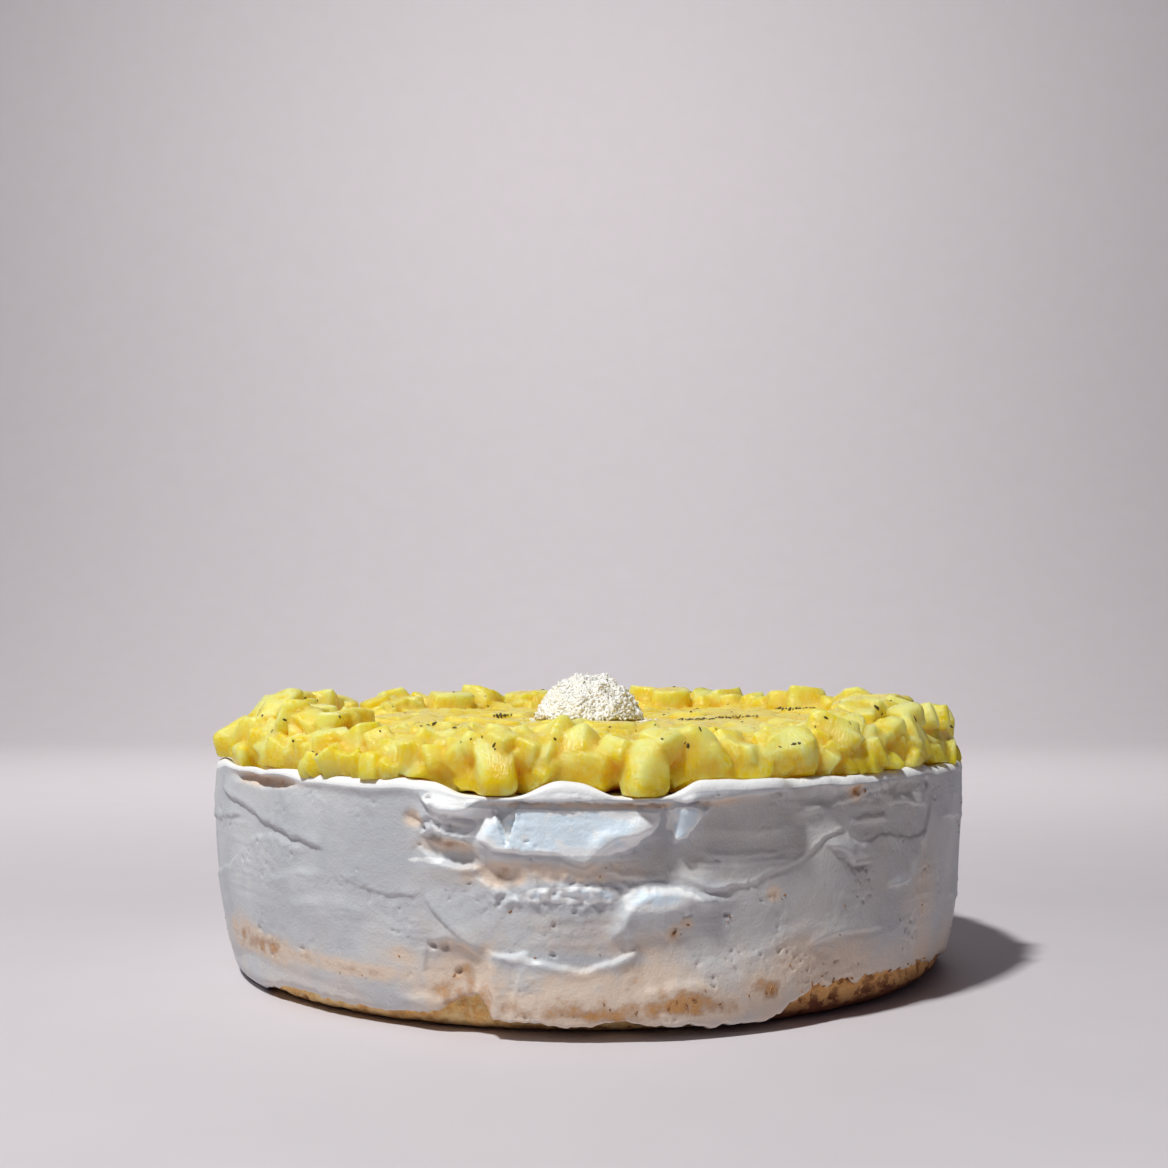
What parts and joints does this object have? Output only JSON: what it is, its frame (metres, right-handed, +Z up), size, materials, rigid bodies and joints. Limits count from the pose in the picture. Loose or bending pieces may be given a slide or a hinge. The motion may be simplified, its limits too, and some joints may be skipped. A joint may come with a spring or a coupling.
{
  "type": "coconut genoise cake",
  "caption": "Round uncut layer cake: sponge in rough-smeared coconut cream, covered with diced pineapple and a small heap of grated coconut.",
  "frame": {"origin": "centre of the flat underside of the sponge, on the surface the cake stands on", "axes": "+Z up along the cake's axis; -Y towards the side that faces the camera in the picture, +X to that view's right"},
  "size_m": [0.2404, 0.2424, 0.0945],
  "materials": {
    "sponge_crust": "golden brown baked genoise crust, porous and dry",
    "coconut_cream": "off-white whipped coconut cream, smeared on with a knife, soft satin sheen",
    "pineapple": "wet, slightly translucent yellow pineapple flesh under a thin glaze",
    "grated_coconut": "dry white grated coconut"
  },
  "bodies": {
    "root": {"sponge": "sponge_crust", "coconut_cream": "coconut_cream", "pineapple_dice": "pineapple", "grated_coconut": "grated_coconut"}
  },
  "joints": []
}
